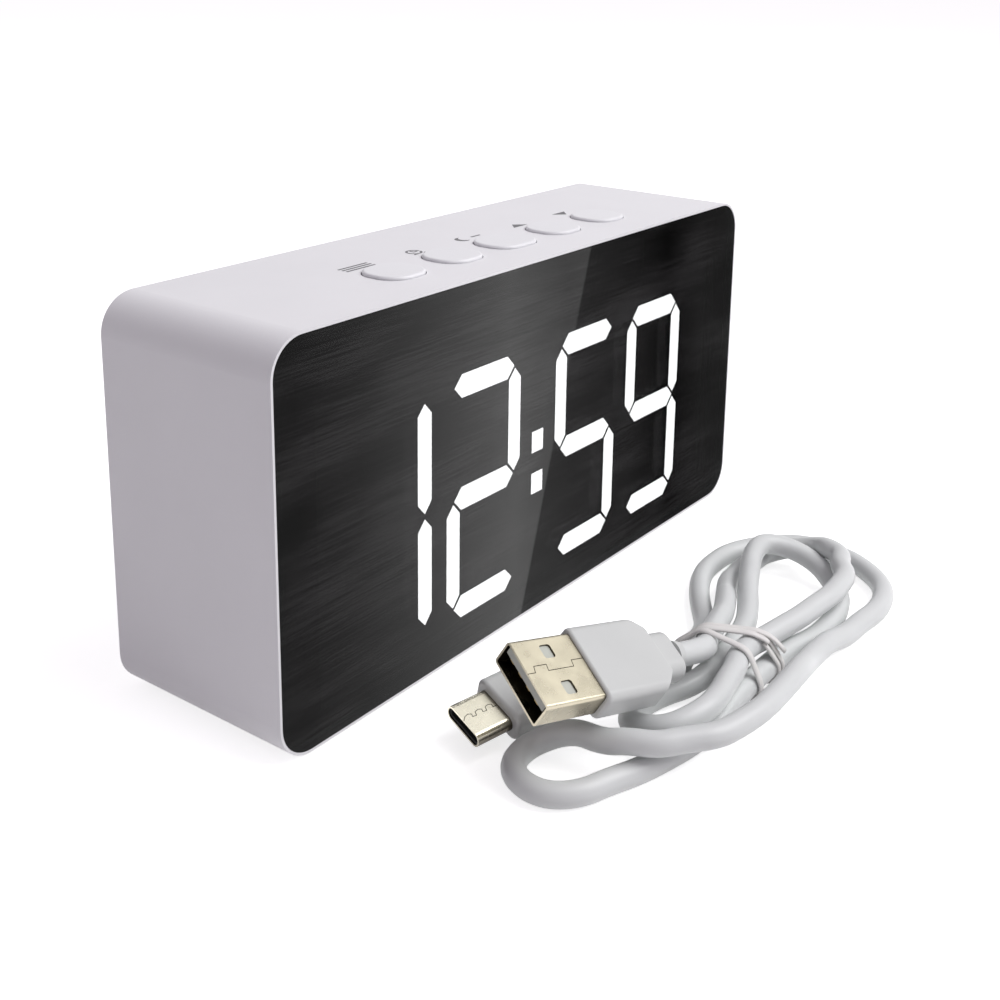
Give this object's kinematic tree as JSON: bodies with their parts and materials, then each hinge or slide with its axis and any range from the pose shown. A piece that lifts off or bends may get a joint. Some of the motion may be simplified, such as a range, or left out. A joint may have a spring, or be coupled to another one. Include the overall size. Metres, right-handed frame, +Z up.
{
  "type": "digital led desk clock",
  "caption": "Box-shaped desk clock with a dark mirror front, white segment digits, a row of top keys, a hinged battery door and a tied charging cable lying beside it.",
  "frame": {"origin": "on the table, under the middle of the case's width and depth", "axes": "+X along the case's width to the right as seen from the front, the display faces -Y, +Z is up"},
  "size_m": [0.14, 0.096, 0.0692],
  "materials": {
    "white_abs": "fine satin moulded",
    "key_white": "satin",
    "mirror_lens": "polished dark mirror film",
    "black_tape": "matte",
    "foot_rubber": "matte",
    "black_plastic": "matte",
    "dark_diffuser": "frosted, unlit",
    "led_package": "glossy",
    "circuit_board": "satin",
    "chip_plastic": "matte",
    "buzzer_plastic": "satin",
    "switch_plastic": "matte",
    "tin_can": "smooth",
    "contact_metal": "smooth",
    "screw_steel": "smooth",
    "plug_metal": "plated",
    "pale_plastic": "satin",
    "gold_contact": "plated",
    "ribbon_plastic": "satin",
    "red_wire": "satin",
    "black_wire": "satin",
    "white_cable": "smooth satin",
    "white_tie": "thin coated band",
    "cell_jacket": "printed sleeve, bare",
    "lit_diffuser": "frosted, lit from behind"
  },
  "bodies": {
    "case": {"battery_cell_1": "cell_jacket", "battery_cell_2": "cell_jacket", "battery_cell_3": "cell_jacket", "battery_plates": "contact_metal", "battery_springs": "contact_metal", "battery_wire_black": "black_wire", "battery_wire_red": "red_wire", "board_screws": "screw_steel", "buzzer": "buzzer_plastic", "cable_hank": "white_cable", "cable_tie": "white_tie", "clock_crystal": "tin_can", "colon_segments": "lit_diffuser", "digit_1_segments": "lit_diffuser", "digit_2_segments": "lit_diffuser", "digit_3_segments": "lit_diffuser", "digit_4_segments": "lit_diffuser", "digit_reflector": "black_plastic", "display_board": "circuit_board", "display_driver": "chip_plastic", "display_ribbon": "ribbon_plastic", "foot_pads": "foot_rubber", "front_lens": "mirror_lens", "housing": "white_abs", "key_board": "circuit_board", "key_ribbon": "ribbon_plastic", "key_switches": "switch_plastic", "lens_tape": "black_tape", "main_board": "circuit_board", "microcontroller": "chip_plastic", "rear_cover": "white_abs", "rear_screws": "screw_steel", "segment_leds": "led_package", "small_plug_insert": "chip_plastic", "small_plug_overmold": "white_cable", "small_plug_shell": "plug_metal", "unlit_segments": "dark_diffuser", "usb_a_contacts": "gold_contact", "usb_a_overmold": "white_cable", "usb_a_shell": "plug_metal", "usb_a_tongue": "pale_plastic", "usb_port_shell": "tin_can", "usb_port_tongue": "chip_plastic"},
    "door": {"battery_door": "white_abs"},
    "mode_key": {"mode_button": "key_white", "mode_plunger": "chip_plastic"},
    "alarm_key": {"alarm_button": "key_white", "alarm_plunger": "chip_plastic"},
    "snooze_key": {"snooze_button": "key_white", "snooze_plunger": "chip_plastic"},
    "up_key": {"up_button": "key_white", "up_plunger": "chip_plastic"},
    "down_key": {"down_button": "key_white", "down_plunger": "chip_plastic"}
  },
  "joints": [
    {"name": "battery_door_hinge", "type": "hinge", "parent": "case", "child": "door", "pos_m": [-0.031, 0.0182, 0.0499], "axis": [1, 0, 0], "range_deg": [0, 90]},
    {"name": "mode_press", "type": "slide", "parent": "case", "child": "mode_key", "axis": [0, 0, -1], "range_m": [0, 0.0006], "stiffness_N_per_m": 1500, "springref_m": -0.0002},
    {"name": "alarm_press", "type": "slide", "parent": "case", "child": "alarm_key", "axis": [0, 0, -1], "range_m": [0, 0.0006], "stiffness_N_per_m": 1500, "springref_m": -0.0002},
    {"name": "snooze_press", "type": "slide", "parent": "case", "child": "snooze_key", "axis": [0, 0, -1], "range_m": [0, 0.0006], "stiffness_N_per_m": 1500, "springref_m": -0.0002},
    {"name": "up_press", "type": "slide", "parent": "case", "child": "up_key", "axis": [0, 0, -1], "range_m": [0, 0.0006], "stiffness_N_per_m": 1500, "springref_m": -0.0002},
    {"name": "down_press", "type": "slide", "parent": "case", "child": "down_key", "axis": [0, 0, -1], "range_m": [0, 0.0006], "stiffness_N_per_m": 1500, "springref_m": -0.0002}
  ]
}
